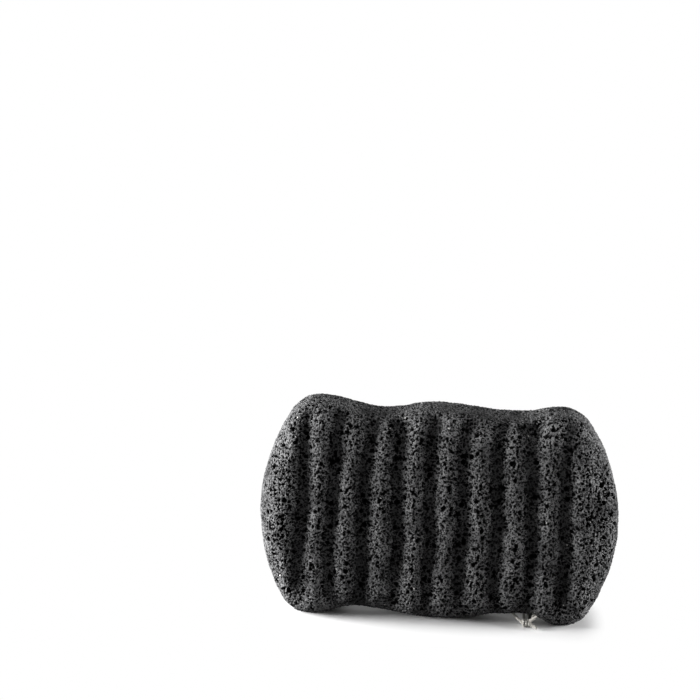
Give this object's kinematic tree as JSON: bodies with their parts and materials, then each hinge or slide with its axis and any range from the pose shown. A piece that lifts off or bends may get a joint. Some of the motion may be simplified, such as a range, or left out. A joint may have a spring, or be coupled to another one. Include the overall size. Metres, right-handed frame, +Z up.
{
  "type": "konjac sponge",
  "caption": "Ribbed charcoal konjac body sponge with wavy edges, standing on its long edge, with a knotted twine hanging loop.",
  "frame": {"origin": "under the middle of the sponge, on the surface that its lower lobes stand on", "axes": "+X along the sponge, to the right as one looks at its ribbed face; -Y out of the ribbed face; +Z up"},
  "size_m": [0.126, 0.0521, 0.0769],
  "materials": {
    "charcoal_foam": "matte, open-pored konjac foam with charcoal",
    "cotton_twine": "matte cotton twine"
  },
  "bodies": {
    "sponge": {"sponge_body": "charcoal_foam", "stitch_cord": "cotton_twine", "cord_knot": "cotton_twine", "cord_tails": "cotton_twine"},
    "loop": {"hang_loop": "cotton_twine"}
  },
  "joints": [
    {"name": "loop_swing", "type": "hinge", "parent": "sponge", "child": "loop", "pos_m": [0.0325, -0.0122, 0.00155], "axis": [1, 0, 0], "range_deg": [-180, 0]}
  ]
}
